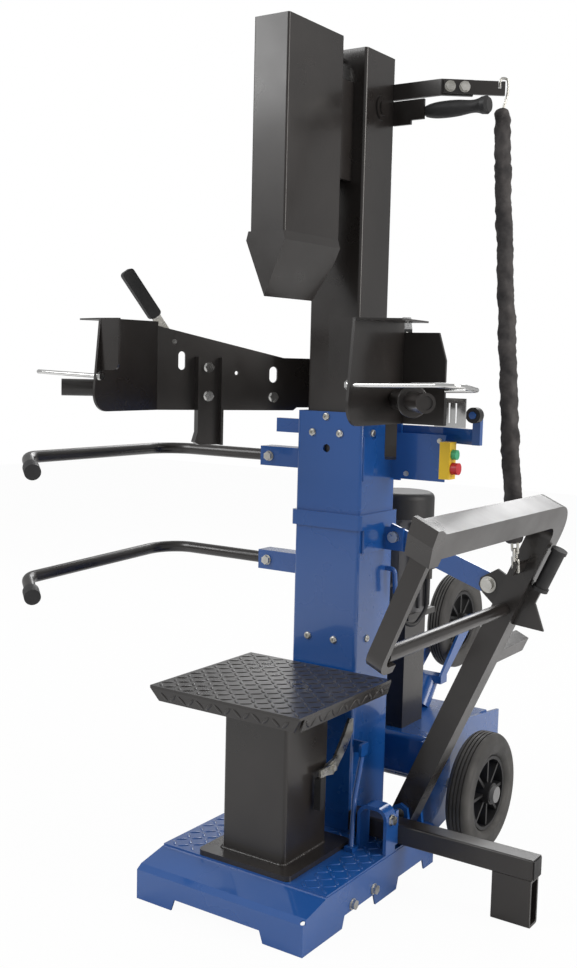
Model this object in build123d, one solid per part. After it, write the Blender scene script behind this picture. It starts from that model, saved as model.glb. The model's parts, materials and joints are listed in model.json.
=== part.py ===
from build123d import *
import math
import os

# Upright hydraulic log splitter. Millimetres, +Z up, +X to the machine's right
# seen from the front, +Y to the back. While modelling, the column's axis is at
# X = Y = 0 and the floor at Z = 0; the last step moves the whole machine so
# that its origin is the bottom centre of its bounding box.

# --- driving dimensions --------------------------------------------------
gap = 0.4                   # clear gap between pieces that move past each other
column_width = 149.4
column_depth = 136.8
column_wall = 5.0
column_top = 918.0
mast_width = 113.6          # moving inner column
mast_front = -61.3
mast_back = 50.2
mast_wall = 4.0
mast_bottom = 525.0
mast_top = 1603.0
base_half_width = 187.2
base_front = -406.3
base_back = 79.0
skirt_height = 64.6
deck_top = 82.0
deck_front = -330.0
sheet = 3.0                 # folded sheet of the base
wedge_width = 74.8
wedge_front = -292.4
wedge_back = -111.2
wedge_top = 1612.0
wedge_crease = 1238.0
wedge_tip = 1127.6
blade_plate = 6.0
pedestal_side = 142.5
pedestal_centre = -224.7
pedestal_plate = 10.0
table_top = 411.6
table_left = -172.0
table_right = 161.0
table_front = -392.8
table_back = -76.0
table_sheet = 5.0
table_flange = 24.0
collar_bottom = 690.0
collar_top = 720.0
collar_bar = 6.0
wheel_radius = 125.0
wheel_width = 50.0
wheel_inner_face = 207.0
axle_radius = 10.0
axle_y = 200.0
bore_play = 0.1             # radial play of a wheel or hinge pin
support_wheel_radius = 112.0
support_wheel_x = 20.0
support_wheel_y = 488.0
support_wheel_z = 412.0
arm_plate = 5.0
arm_bottom = 914.0
arm_inner_top = 1020.0
arm_outer_top = 1084.0
pivot_x = 60.0              # vertical pins of the operating arms
pivot_y = 92.0
bend_x = 271.0
bend_y = -272.0
guard_front = -446.0
guard_top_front = -431.0    # the guard's front edge leans back towards its top
rear_plate_edge = 349.5
rear_plate_top = 1066.0
handle_z = 955.0
handle_radius = 16.0
handle_root = (271.0, -296.0)
handle_end = (387.0, -409.0)
lifter_hinge_x = 162.0
lifter_hinge_z = 130.0
lifter_lean = 24.1          # degrees from upright in the parked position
lifter_tube = 45.0
lifter_wall = 3.0
lifter_arm_y = 6.0
lifter_height = 690.0
lifter_front = -505.0
lifter_bar_height = 478.0
lifter_pin_radius = 10.0
guard_tube = 12.0
sleeve_radius = 17.0


# --- helpers -------------------------------------------------------------
def block(x0, x1, y0, y1, z0, z1):
    """Box between two corners."""
    size = (x1 - x0, y1 - y0, z1 - z0)
    return Pos((x0 + x1) / 2, (y0 + y1) / 2, (z0 + z1) / 2) * Box(*size)


def rod(start, end, radius):
    """Round bar between two points."""
    start, end = Vector(*start), Vector(*end)
    plane = Plane(origin=start, z_dir=end - start)
    length = (end - start).length
    bar = Cylinder(radius, length, align=(Align.CENTER, Align.CENTER, Align.MIN))
    return plane * bar


def pipe(start, end, radius, bore):
    """Round tube between two points."""
    start, end = Vector(*start), Vector(*end)
    extra = (end - start).normalized()
    return rod(start, end, radius) - rod(start - extra, end + extra, bore)


def square_tube(x0, x1, y0, y1, z0, z1, wall, corner):
    """Upright square tube with rounded outer edges."""
    outer = block(x0, x1, y0, y1, z0, z1)
    outer = fillet(outer.edges().filter_by(Axis.Z), corner)
    hollow = block(x0 + wall, x1 - wall, y0 + wall, y1 - wall, z0 - 1, z1 + 1)
    return outer - hollow


def prism(points, plane, depth):
    """Plate from an outline drawn on a plane, thickened along its normal."""
    outline = plane * make_face(Polyline(*points, close=True))
    return extrude(outline, amount=depth, dir=plane.z_dir)


def bent_rod(points, radii, radius):
    """Round bar along straight runs joined by arcs."""
    if len(points) > 2:
        path = FilletPolyline(*points, radius=radii)
    else:
        path = Line(*points)
    section = Plane(origin=path @ 0, z_dir=path % 0) * Circle(radius)
    return sweep(section, path=path)


def hex_bolt(seat, direction, size, length):
    """Hexagon bolt with its washer; the head stands off the seat along direction."""
    seat, direction = Vector(*seat), Vector(*direction).normalized()
    plane = Plane(origin=seat, z_dir=direction)
    washer = Cylinder(size * 1.05, size * 0.18, align=(Align.CENTER, Align.CENTER, Align.MIN))
    head = extrude(RegularPolygon(size * 0.95, 6), amount=size * 0.65)
    head = Pos(0, 0, size * 0.18) * head
    shank = Pos(0, 0, -length) * Cylinder(
        size / 2, length, align=(Align.CENTER, Align.CENTER, Align.MIN))
    return plane * (washer + head + shank)


def button_bolt(seat, direction, size, length):
    """Round-headed bolt with a hexagon socket; its head stands off the seat."""
    plane = Plane(origin=Vector(*seat), z_dir=Vector(*direction))
    head = Cylinder(size * 0.95, size * 0.55, align=(Align.CENTER, Align.CENTER, Align.MIN))
    head = fillet(head.edges().group_by(Axis.Z)[-1], size * 0.4)
    socket = Pos(0, 0, size * 0.25) * extrude(RegularPolygon(size * 0.34, 6), amount=size)
    shank = Pos(0, 0, -length) * Cylinder(
        size / 2, length, align=(Align.CENTER, Align.CENTER, Align.MIN))
    return plane * (head - socket + shank)


def mirrored(shape):
    """The same piece on the machine's other side."""
    return mirror(shape, about=Plane.YZ)


def solids_of(shapes):
    """One node made of separate solids."""
    return Compound(children=[s for shape in shapes for s in shape.solids()])


def in_lifter(shape):
    """Place a piece drawn upright at the lifter's hinge into the parked lean."""
    turn = Location((lifter_hinge_x, 0, lifter_hinge_z), (0, lifter_lean, 0))
    return turn * shape


nodes = {}

# places that several pieces share
side = column_width / 2
back = column_depth / 2
half_mast = mast_width / 2
table_under = table_top - table_sheet
pedestal_half = pedestal_side / 2
pedestal_y0 = pedestal_centre - pedestal_half
pedestal_y1 = pedestal_centre + pedestal_half
arm_run = math.hypot(bend_x - pivot_x, bend_y - pivot_y)
arm_ux = (bend_x - pivot_x) / arm_run
arm_uy = (bend_y - pivot_y) / arm_run


# --- base ----------------------------------------------------------------
def base_shell():
    """Folded sheet base with feet left between the arched notches."""
    outline = [(base_front, 0), (base_back, 0), (base_back, deck_top - 4),
               (deck_front, deck_top - 4), (base_front + 12, skirt_height), (base_front, skirt_height - 8)]
    side_view = Plane(origin=(-base_half_width, 0, 0), x_dir=(0, 1, 0), z_dir=(1, 0, 0))
    body = prism(outline, side_view, 2 * base_half_width)
    inner = [(base_front + sheet, -1), (base_back - sheet, -1), (base_back - sheet, deck_top - 4 - sheet),
             (deck_front, deck_top - 4 - sheet), (base_front + 13, skirt_height - sheet),
             (base_front + sheet, skirt_height - 9)]
    inner_view = Plane(origin=(-base_half_width + sheet, 0, 0), x_dir=(0, 1, 0), z_dir=(1, 0, 0))
    body -= prism(inner, inner_view, 2 * (base_half_width - sheet))
    notch_half, notch = 104.0, 22.0
    front_cut = prism([(-notch_half, -1), (notch_half, -1), (notch_half - 8, notch),
                       (-notch_half + 8, notch)],
                      Plane(origin=(0, base_front - 5, 0), x_dir=(1, 0, 0), z_dir=(0, -1, 0)), -20)
    body -= front_cut
    for start, end in ((base_front + 130, base_front + 250), (base_front + 330, base_back - 40)):
        cut = prism([(start, -1), (end, -1), (end - 8, notch), (start + 8, notch)],
                    Plane(origin=(-base_half_width - 5, 0, 0), x_dir=(0, 1, 0), z_dir=(1, 0, 0)),
                    2 * base_half_width + 10)
        body -= cut
    drain = Pos(base_half_width - 4, base_front + 6, skirt_height - 6) * Sphere(5)
    return body - drain


def deck_plate():
    """Tread plate that the logs stand on."""
    plate = block(-base_half_width + 1, base_half_width - 1, deck_front, base_back - 1,
                  deck_top - 4, deck_top)
    return plate


def rear_side_plate():
    """Upright plate that carries the axle on one side of the tank."""
    outline = [(base_back, 20), (430, 96), (452, 120), (452, 228), (300, 246), (base_back, 246)]
    view = Plane(origin=(150, 0, 0), x_dir=(0, 1, 0), z_dir=(1, 0, 0))
    plate = prism(outline, view, 6)
    hole = rod((140, axle_y, wheel_radius), (170, axle_y, wheel_radius), axle_radius)
    return plate - hole


nodes["base_shell"] = base_shell()
nodes["deck_plate"] = deck_plate()
nodes["rear_side_plate_right"] = rear_side_plate()
nodes["rear_side_plate_left"] = mirrored(rear_side_plate())
nodes["oil_tank"] = fillet(block(-150, 150, 118, 400, 152, 240).edges().filter_by(Axis.X), 10)
nodes["tank_filler"] = solids_of([rod((-90, 350, 240), (-90, 350, 262), 18),
                                  rod((-90, 350, 262), (-90, 350, 276), 24)])

# --- column --------------------------------------------------------------
column = square_tube(-side, side, -back, back, deck_top, column_top, column_wall, 7)
sight_hole = rod((-5, -back - 5, 846), (-5, -back + column_wall + 2, 846), 8)
front_bolts = [(-7, 908), (-38, 876), (25, 876), (-37, 467), (24, 467)]
side_bolts = [878, 470]
for x, z in front_bolts:
    column -= rod((x, -back - 1, z), (x, -back + column_wall + 1, z), 4)
for z in side_bolts:
    for sign in (-1, 1):
        column -= rod((sign * (side + 1), -28, z), (sign * (side - column_wall - 1), -28, z), 4)
nodes["column"] = column - sight_hole

collar = block(-side - collar_bar, side + collar_bar, -back - collar_bar, back + collar_bar,
               collar_bottom, collar_top)
collar = fillet(collar.edges().filter_by(Axis.Z), 8)
bore_column = block(-side, side, -back, back, 0, column_top + 10)
bore_column = fillet(bore_column.edges().filter_by(Axis.Z), 7)
nodes["column_collar"] = collar - bore_column

mast = square_tube(-half_mast, half_mast, mast_front, mast_back, mast_bottom, mast_top,
                   mast_wall, 6)
nodes["mast"] = mast
nodes["mast_cap"] = block(-half_mast + mast_wall, half_mast - mast_wall, mast_front + mast_wall,
                          mast_back - mast_wall, mast_top - 14, mast_top - 6)


def guide_pads(z0, z1):
    """Four slide blocks between the column and the mast."""
    inner_x, inner_y = side - column_wall, back - column_wall
    front = block(-45, 45, -inner_y, mast_front - gap, z0, z1)
    rear = block(-45, 45, mast_back + gap, inner_y, z0, z1)
    right = block(half_mast + gap, inner_x, -40, 30, z0, z1)
    for x, z in front_bolts:
        if z0 < z < z1:
            front -= rod((x, -back - 1, z), (x, mast_front, z), 4)
    for z in side_bolts:
        if z0 < z < z1:
            right -= rod((half_mast, -28, z), (side + 1, -28, z), 4)
    return [front, rear, right, mirrored(right)]


nodes["upper_guide_pads"] = solids_of(guide_pads(846 + 10, column_top))
nodes["lower_guide_pads"] = solids_of(guide_pads(446, 492))


def column_bolts():
    """Round-headed bolts that hold the slide blocks."""
    length = back + mast_front - 1.5
    bolts = [button_bolt((x, -back, z), (0, -1, 0), 8, length) for x, z in front_bolts]
    for z in side_bolts:
        for sign in (-1, 1):
            bolts.append(button_bolt((sign * side, -28, z), (sign, 0, 0), 8, side - half_mast - 2))
    return bolts


nodes["column_bolts"] = solids_of(column_bolts())

# --- hydraulic ram inside the column --------------------------------------
tube_top = 640.0
rod_radius = 18.0
ram_bore = 30.0
ram_y = (mast_front + mast_back) / 2
ram_tube = pipe((0, ram_y, deck_top + 8), (0, ram_y, tube_top), 35, ram_bore)
ram_foot = block(-60, 60, ram_y - 55, ram_y + 55, deck_top, deck_top + 8)
nodes["ram_foot"] = ram_foot
nodes["ram_tube"] = ram_tube
nodes["ram_gland"] = pipe((0, ram_y, tube_top), (0, ram_y, tube_top + 22), 35, rod_radius + 0.05)
nodes["ram_rod"] = rod((0, ram_y, mast_bottom + 45), (0, ram_y, mast_top - 14), rod_radius)
nodes["ram_piston"] = (rod((0, ram_y, mast_bottom + 45), (0, ram_y, mast_bottom + 75), ram_bore - 0.1)
                       - rod((0, ram_y, mast_bottom + 40), (0, ram_y, mast_bottom + 80), rod_radius))

# --- wedge ---------------------------------------------------------------
half_wedge = wedge_width / 2
wedge_box = square_tube(-half_wedge, half_wedge, wedge_front, wedge_back, wedge_crease + 4,
                        wedge_top - 5, 5, 4)
nodes["wedge_box"] = wedge_box
nodes["wedge_lid"] = fillet(block(-half_wedge, half_wedge, wedge_front, wedge_back, wedge_top - 5,
                                  wedge_top).edges().filter_by(Axis.Z), 4)


def wedge_blade():
    """Two plates folded into a vee that meets in an edge along Y."""
    flare = 4.5
    view = Plane(origin=(0, wedge_back - 3, 0), x_dir=(1, 0, 0), z_dir=(0, -1, 0))
    outer = [(-half_wedge - flare, wedge_crease - 12), (-half_wedge, wedge_crease + 4),
             (half_wedge, wedge_crease + 4), (half_wedge + flare, wedge_crease - 12), (0, wedge_tip)]
    solid = prism(outer, view, wedge_back - wedge_front + 2)
    inner = [(-half_wedge + 1, wedge_crease - 14), (-half_wedge + 5, wedge_crease + 5),
             (half_wedge - 5, wedge_crease + 5), (half_wedge - 1, wedge_crease - 14),
             (0, wedge_tip + 18)]
    hollow_view = Plane(origin=(0, wedge_back - 9, 0), x_dir=(1, 0, 0), z_dir=(0, -1, 0))
    hollow = prism(inner, hollow_view, wedge_back - wedge_front - 10)
    solid -= hollow
    rear_slope = [(wedge_back + 20, wedge_tip - 5), (wedge_back - 32, wedge_tip - 5),
                  (wedge_back + 3, wedge_crease - 20), (wedge_back + 20, wedge_crease - 20)]
    view_x = Plane(origin=(-80, 0, 0), x_dir=(0, 1, 0), z_dir=(1, 0, 0))
    return solid - prism(rear_slope, view_x, 160)


nodes["wedge_blade"] = wedge_blade()
mount_bottom = 1358.0
nodes["wedge_mount"] = solids_of([
    block(-half_wedge + 8, -half_wedge + 18, wedge_back, mast_front, mount_bottom, 1540),
    block(half_wedge - 18, half_wedge - 8, wedge_back, mast_front, mount_bottom, 1540)])
bow_points = [(0, mast_front, 1586), (0, mast_front - 34, 1586), (0, mast_front - 34, 1464),
              (0, mast_front, 1464)]
nodes["lifting_bow"] = bent_rod(bow_points, [22, 22], 5)
nodes["mast_plug"] = solids_of([rod((half_mast, 0, 1502), (half_mast + 4, 0, 1502), 24),
                                rod((half_mast + 4, 0, 1502), (half_mast + 7, 0, 1502), 15)])

# --- pedestal and table --------------------------------------------------
stand_bottom = deck_top + gap
nodes["pedestal_foot"] = fillet(block(-104, 104, -330, -112, stand_bottom, stand_bottom
                                      + pedestal_plate).edges().filter_by(Axis.Z), 12)
nodes["pedestal_tube"] = square_tube(-pedestal_half, pedestal_half, pedestal_y0, pedestal_y1,
                                     stand_bottom + pedestal_plate, table_under, 5, 7)


def table():
    """Tread plate table; its front and side edges are folded down and tapered."""
    top = block(table_left, table_right, table_front, table_back, table_under, table_top)
    lean = 7.0
    drop = table_under - table_flange
    front = prism([(table_front, table_under), (table_front + lean, drop),
                   (table_front + lean + table_sheet, drop), (table_front + table_sheet, table_under)],
                  Plane(origin=(table_left, 0, 0), x_dir=(0, 1, 0), z_dir=(1, 0, 0)),
                  table_right - table_left)
    ends = prism([(table_left, table_under), (table_left + 16, drop), (table_right - 16, drop),
                  (table_right, table_under)],
                 Plane(origin=(0, table_front + 30, 0), x_dir=(1, 0, 0), z_dir=(0, -1, 0)), 40)
    flanges = [front & ends]
    for x, inward in ((table_right, -1), (table_left, 1)):
        profile = [(x, table_under), (x + inward * lean, drop),
                   (x + inward * (lean + table_sheet), drop), (x + inward * table_sheet, table_under)]
        view = Plane(origin=(0, table_back, 0), x_dir=(1, 0, 0), z_dir=(0, -1, 0))
        flanges.append(prism(profile, view, table_back - table_front - 16))
    plate = top
    for flange in flanges:
        plate += flange
    return plate


nodes["table"] = table()
nodes["table_ribs"] = solids_of([
    block(pedestal_half, 130, pedestal_centre - 4, pedestal_centre + 4, table_under - 30, table_under),
    block(-140, -pedestal_half, pedestal_centre - 4, pedestal_centre + 4, table_under - 30, table_under)])

# --- table latch ---------------------------------------------------------
latch_x = pedestal_half + 6
latch_pin = (latch_x, -158, 244)
boss = rod((pedestal_half, latch_pin[1], latch_pin[2]), (latch_x + 14, latch_pin[1], latch_pin[2]), 6)
nodes["latch_pin"] = boss
latch_view = Plane(origin=(latch_x, 0, 0), x_dir=(0, 1, 0), z_dir=(1, 0, 0))
lever_outline = [(-172, 232), (-150, 228), (-104, 268), (-82, 296), (-82, 322), (-94, 324),
                 (-108, 304), (-146, 258), (-172, 252)]
lever = prism(lever_outline, latch_view, 6)
nodes["latch_lever"] = lever - rod((latch_x - 1, -158, 244), (latch_x + 8, -158, 244), 6 + bore_play)
nodes["latch_link"] = (block(latch_x + 6 + gap, latch_x + 11, -204, -146, 236, 252)
                       - rod((latch_x, -158, 244), (latch_x + 20, -158, 244), 6 + bore_play))
nodes["latch_grip"] = block(latch_x + 1, latch_x + 15, -210, -196, 176, 236)

hook_bracket = (block(side, side + 30, -64, -58, 248, 272)
                + block(side + 24, side + 30, -84, -58, 248, 272))
nodes["column_hook"] = hook_bracket
rod_route = [(side + 27, -76, 246), (side + 29, -104, 172), (side + 44, -136, 88)]
nodes["latch_rod"] = (bent_rod(rod_route, [20], 5)
                      + block(side + 35, side + 54, -148, -126, deck_top, deck_top + 8))

# --- stabiliser ----------------------------------------------------------
beam_y0, beam_y1, beam_z0 = -76.0, -36.0, 90.0
beam_end = 463.0
beam = block(side, beam_end, beam_y0, beam_y1, beam_z0, beam_z0 + 40)
nodes["stabiliser_beam"] = (fillet(beam.edges().filter_by(Axis.X), 4)
                            - block(side + 4, beam_end + 1, beam_y0 + 3, beam_y1 - 3,
                                    beam_z0 + 3, beam_z0 + 37))
nodes["stabiliser_cap"] = block(beam_end - 8, beam_end + 2, beam_y0 + 3, beam_y1 - 3,
                                beam_z0 + 3, beam_z0 + 37)
foot_x0, foot_x1 = 384.0, 460.0
foot_wall = 5.0
foot_inside = block(foot_x0 - 1, foot_x1 + 1, beam_y0 + 2 + foot_wall, beam_y1 - 2 - foot_wall,
                    foot_wall, beam_z0 - foot_wall)
nodes["stabiliser_foot"] = (fillet(block(foot_x0, foot_x1, beam_y0 + 2, beam_y1 - 2, 0, beam_z0)
                                   .edges().filter_by(Axis.X).group_by(Axis.Z)[0], 5)
                            - fillet(foot_inside.edges().filter_by(Axis.X), 4))


def arch_bracket():
    """Bent strap that stands over the stabiliser beam."""
    x0, x1, top = 122.0, 187.0, 172.0
    outer = block(x0, x1, -122, -86, deck_top, top)
    inner = block(x0 + 7, x1 - 7, -130, -80, deck_top - 1, top - 7)
    top_outer = outer.edges().filter_by(Axis.Y).group_by(Axis.Z)[-1]
    top_inner = inner.edges().filter_by(Axis.Y).group_by(Axis.Z)[-1]
    return fillet(top_outer, 24) - fillet(top_inner, 17)


nodes["arch_bracket"] = arch_bracket()
nodes["arch_tie"] = block(187 - 7, 187, -86, beam_y0, beam_z0 + 2, 160)
nodes["base_bolts"] = solids_of(
    [hex_bolt((base_half_width, y, 34), (1, 0, 0), 10, sheet + 6) for y in (-242, -165)]
    + [hex_bolt((187, -104, 148), (1, 0, 0), 10, 10)]
    + [hex_bolt((-base_half_width, y, 34), (-1, 0, 0), 10, sheet + 6) for y in (-242, -165)])
for y in (-242, -165):
    for sign in (-1, 1):
        nodes["base_shell"] -= rod((sign * (base_half_width + 1), y, 34),
                                   (sign * (base_half_width - sheet - 1), y, 34), 5)
nodes["arch_bracket"] -= rod((170, -104, 148), (190, -104, 148), 5)
nodes["left_tab"] = prism([(-side, 150), (-side - 58, 150), (-side - 76, 164), (-side - 70, 172),
                           (-side - 40, 178), (-side, 178)],
                          Plane(origin=(0, 20, 0), x_dir=(1, 0, 0), z_dir=(0, -1, 0)), 6)

# --- log guard bars on the left ------------------------------------------
def guard_bracket(z):
    """Square socket that the guard bar plugs into."""
    socket = block(-side - 118, -side, -27, 15, z - 20, z + 20)
    return socket - rod((-side - 130, -6, z), (-side - 40, -6, z), guard_tube)


def guard_bar(z, drop):
    """Bar that runs out to the left, forward, and back inwards at its end."""
    points = [(-side - 42, -6, z), (-455, -6, z), (-480, -408, z - drop), (-430, -446, z - drop - 14)]
    return bent_rod(points, [70, 36], guard_tube)


def guard_cap(z, drop):
    """Rubber cap on the bar's end."""
    start, inward = Vector(-430, -446, z - drop - 14), Vector(50, -38, -14).normalized()
    return rod(start, start + inward * 30, 16)


for name, z, drop in (("upper", 818.0, 3.0), ("lower", 600.0, 24.0)):
    nodes[f"{name}_guard_socket"] = guard_bracket(z)
    nodes[f"{name}_guard_bar"] = guard_bar(z, drop)
    nodes[f"{name}_guard_cap"] = guard_cap(z, drop)
nodes["guard_bolts"] = solids_of([hex_bolt((-side - 96, -27, z), (0, -1, 0), 10, 8)
                                  for z in (818.0, 600.0)])
for name, z in (("upper", 818.0), ("lower", 600.0)):
    nodes[f"{name}_guard_socket"] -= rod((-side - 96, -28, z), (-side - 96, -18, z), 5)

# --- control rocker and switch -------------------------------------------
nodes["rocker_pin"] = rod((0, back, 877), (0, back + 26, 877), 8)
rocker_y = back + 6
roller_x = 262.0
rocker = block(-224, 176, rocker_y, rocker_y + 12, 862, 892)
rocker += prism([(176, rocker_y), (176, rocker_y + 12), (roller_x + 4, rocker_y - 20),
                 (roller_x + 4, rocker_y - 32)],
                Plane.XY.offset(862), 30)
rocker += block(roller_x - 8, roller_x + 8, rocker_y - 32, rocker_y - 20, 862, 926)
nodes["rocker"] = rocker - rod((0, back, 877), (0, back + 30, 877), 8 + bore_play)
nodes["rocker_roller"] = (rod((roller_x, rocker_y - 50, 920), (roller_x, rocker_y - 32 - gap, 920), 15)
                          - rod((roller_x, rocker_y - 60, 920), (roller_x, rocker_y - 20, 920),
                                4 + bore_play))
nodes["rocker_roller_pin"] = (rod((roller_x, rocker_y - 53, 920), (roller_x, rocker_y - 32, 920), 4)
                              + rod((roller_x, rocker_y - 53, 920),
                                    (roller_x, rocker_y - 50 - gap, 920), 7))
nodes["rocker_nut"] = (rod((0, rocker_y + 12 + gap, 877), (0, rocker_y + 21, 877), 14)
                       - rod((0, back, 877), (0, back + 40, 877), 8))

panel = (block(side, side + 3, -62, 46, 786, 872) + block(side, 196, 46, 49, 786, 878))
for y, z in ((-28, 878),):
    panel -= rod((side - 1, y, z), (side + 12, y, z), 12)
nodes["switch_panel"] = panel
switch_x, switch_y = 196.0, 35.5
nodes["switch_body"] = block(switch_x, switch_x + 22, switch_y - 13.5, switch_y + 13.5, 794, 866)
nodes["switch_body"] -= (rod((switch_x + 6, switch_y, 842), (switch_x + 30, switch_y, 842), 10)
                         + rod((switch_x + 6, switch_y, 815), (switch_x + 30, switch_y, 815), 12))
nodes["start_button"] = rod((switch_x + 10, switch_y, 842), (switch_x + 32, switch_y, 842), 9.6)
nodes["stop_button"] = rod((switch_x + 12, switch_y, 815), (switch_x + 36, switch_y, 815), 11.6)
nodes["panel_bolts"] = solids_of([hex_bolt((x, 46, z), (0, -1, 0), 5, 6)
                                  for x, z in ((112, 797), (184, 866))])
for x, z in ((112, 797), (184, 866)):
    nodes["switch_panel"] -= rod((x, 40, z), (x, 50, z), 2.5)

# --- operating arms ------------------------------------------------------
nodes["arm_upright"] = (block(-86, 86, back, back + 5, 780, 910)
                        + block(-50, 50, back, back + 5, 910, 1034)
                        - block(-30, 30, back - 1, back + 6, 846, 902))
nodes["arm_upright"] += (block(-86, 86, back + 5, pivot_y + 22, 1034 - 5, 1034)
                         + block(-86, 86, back + 5, pivot_y + 22, 905, 910))
for sign in (-1, 1):
    nodes["arm_upright"] -= rod((sign * pivot_x, pivot_y, 900), (sign * pivot_x, pivot_y, 1040), 7)
nodes["arm_pins"] = solids_of([rod((s * pivot_x, pivot_y, 898), (s * pivot_x, pivot_y, 1040), 7)
                               for s in (-1, 1)])
arm_view = Plane(origin=(pivot_x, pivot_y, 0), x_dir=(arm_ux, arm_uy, 0), z_dir=(arm_uy, -arm_ux, 0))
lever_s, lever_z = 385.0, 1046.0
claw_s = 315.0
loop_front, loop_z = -434.0, 979.0
lever_stand_off = 5.0       # spacer between the arm's plate and the lever


def on_arm(s, z, offset):
    """Point on the right arm's plate: along it, its height, and inward of its outer face."""
    return (pivot_x + arm_ux * s + arm_uy * offset, pivot_y + arm_uy * s - arm_ux * offset, z)


def arm():
    """Right arm: pivot sleeve, plate, and the hand guard folded from the same sheet."""
    plate = prism([(9, arm_bottom + 6), (118, arm_bottom + 6), (126, arm_bottom), (arm_run, arm_bottom),
                   (arm_run, arm_outer_top - 8), (150, arm_inner_top), (9, arm_inner_top)],
                  arm_view, arm_plate)
    sleeve = rod((pivot_x, pivot_y, 911), (pivot_x, pivot_y, 1028), 12)
    guard = prism([(bend_y, arm_bottom), (guard_front, arm_bottom), (guard_front, arm_bottom + 40),
                   (guard_top_front, arm_outer_top), (bend_y, arm_outer_top)],
                  Plane(origin=(bend_x - arm_plate, 0, 0), x_dir=(0, 1, 0), z_dir=(1, 0, 0)), arm_plate)
    lower_front = guard.edges().filter_by(Axis.X).group_by(Axis.Z)[0].sort_by(Axis.Y)[0]
    guard = fillet(lower_front, 32)
    flap = block(bend_x - 48, bend_x, guard_top_front, guard_top_front + arm_plate, 990, arm_outer_top)
    flap_corner = flap.edges().filter_by(Axis.Y).group_by(Axis.Z)[0].sort_by(Axis.X)[0]
    flap = fillet(flap_corner, 14)
    rear = prism([(bend_x - 3, arm_bottom), (rear_plate_edge, arm_bottom), (rear_plate_edge, 1021),
                  (rear_plate_edge - 14, rear_plate_top), (bend_x - 3, rear_plate_top)],
                 Plane(origin=(0, bend_y + arm_plate, 0), x_dir=(1, 0, 0), z_dir=(0, -1, 0)), arm_plate)
    lip = prism([(bend_x - arm_plate, guard_top_front), (bend_x, guard_top_front), (bend_x + 70, -408),
                 (bend_x + 52, -286), (bend_x - arm_plate, -286)],
                Plane.XY.offset(arm_outer_top - 3), 3)
    whole = plate + sleeve + guard + flap + rear + lip
    whole -= rod((pivot_x, pivot_y, 900), (pivot_x, pivot_y, 1040), 7 + bore_play)
    for s, z, width, height in ((369, 1010, 15, 36), (172, 986, 18, 32)):
        slot = arm_view * (Pos(s, z, 0) * SlotOverall(height, width, rotation=90))
        whole -= extrude(slot, amount=20, both=True)
    whole -= rod(on_arm(253, 988, -5), on_arm(253, 988, 12), 4)
    whole -= rod((bend_x - 10, loop_front, loop_z), (bend_x + 1, loop_front, loop_z), 4)
    for s, z in ((claw_s, 998), (claw_s, 942), (172, 941), (lever_s, lever_z)):
        whole -= rod(on_arm(s, z, -5), on_arm(s, z, 12), 5)
    return whole


def claw():
    """Folded channel with a toothed lower end that bites the log."""
    outer = prism([(claw_s - 27, 846), (claw_s + 22, 846), (claw_s + 33, 852), (claw_s + 27, 872),
                   (claw_s + 27, 1018), (claw_s - 27, 1018)], arm_view, 20)
    outer = arm_view.offset(arm_plate).location * arm_view.location.inverse() * outer
    channel = prism([(claw_s - 22, 840), (claw_s + 22, 840), (claw_s + 22, 1025), (claw_s - 22, 1025)],
                    arm_view.offset(arm_plate + 5), 30)
    for z in (998, 942):
        outer -= rod(on_arm(claw_s, z, arm_plate - 1), on_arm(claw_s, z, arm_plate + 8), 5)
    return outer - channel


def arm_bolts():
    """Bolts of the claw, the plate's stop and the loop's ends."""
    inward = (arm_uy, -arm_ux, 0)
    bolts = [hex_bolt(on_arm(claw_s, z, arm_plate + 5), inward, 10, arm_plate + 5) for z in (998, 942)]
    bolts.append(hex_bolt(on_arm(172, 941, arm_plate), inward, 10, arm_plate))
    bolts.append(hex_bolt((bend_x - arm_plate, loop_front, loop_z), (-1, 0, 0), 8, arm_plate))
    return bolts


def lever(angle):
    """Flat bar lever that turns on the arm's outer face."""
    slope = Vector(math.cos(math.radians(angle)), math.sin(math.radians(angle)))
    across = Vector(-slope.Y, slope.X)
    pivot = Vector(lever_s, lever_z)
    ends = [pivot - slope * 14 - across * 9, pivot + slope * 150 - across * 9,
            pivot + slope * 150 + across * 9, pivot - slope * 14 + across * 9]
    bar = prism([(p.X, p.Y) for p in ends], arm_view.offset(-lever_stand_off - 4), 4)
    return bar - rod(on_arm(lever_s, lever_z, -12), on_arm(lever_s, lever_z, 10), 5 + bore_play)


def lever_grip(angle):
    """Moulded grip pushed over the lever's end."""
    slope = Vector(math.cos(math.radians(angle)), math.sin(math.radians(angle)))
    start, end = Vector(lever_s, lever_z) + slope * 58, Vector(lever_s, lever_z) + slope * 162
    middle = (start + end) * 0.5
    face = arm_view.offset(-lever_stand_off - 11) * (Pos(middle.X, middle.Y, 0) * Rot(0, 0, angle)
                                         * RectangleRounded(104, 25, 7))
    grip = extrude(face, amount=11 + lever_stand_off - gap, dir=arm_view.z_dir)
    return grip - lever(angle)


def handle_point(share):
    """Point on the handle's axis, from its root on the guard to its outer end."""
    return tuple(a + (b - a) * share for a, b in zip((*handle_root, handle_z), (*handle_end, handle_z)))


def handle():
    """Handle that stands out of the guard at a slant, with a hand stop and a closed end."""
    bar = rod(handle_point(-0.2), handle_point(1), handle_radius)
    bar -= block(bend_x - 80, bend_x, -520, -200, 880, 1100)
    stop = rod(handle_point(0.57), handle_point(0.61), handle_radius + 10)
    stop = fillet(stop.edges().filter_by(GeomType.CIRCLE), 2)
    return bar + stop - rod(handle_point(0.985), handle_point(1.1), handle_radius - 5)


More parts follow.
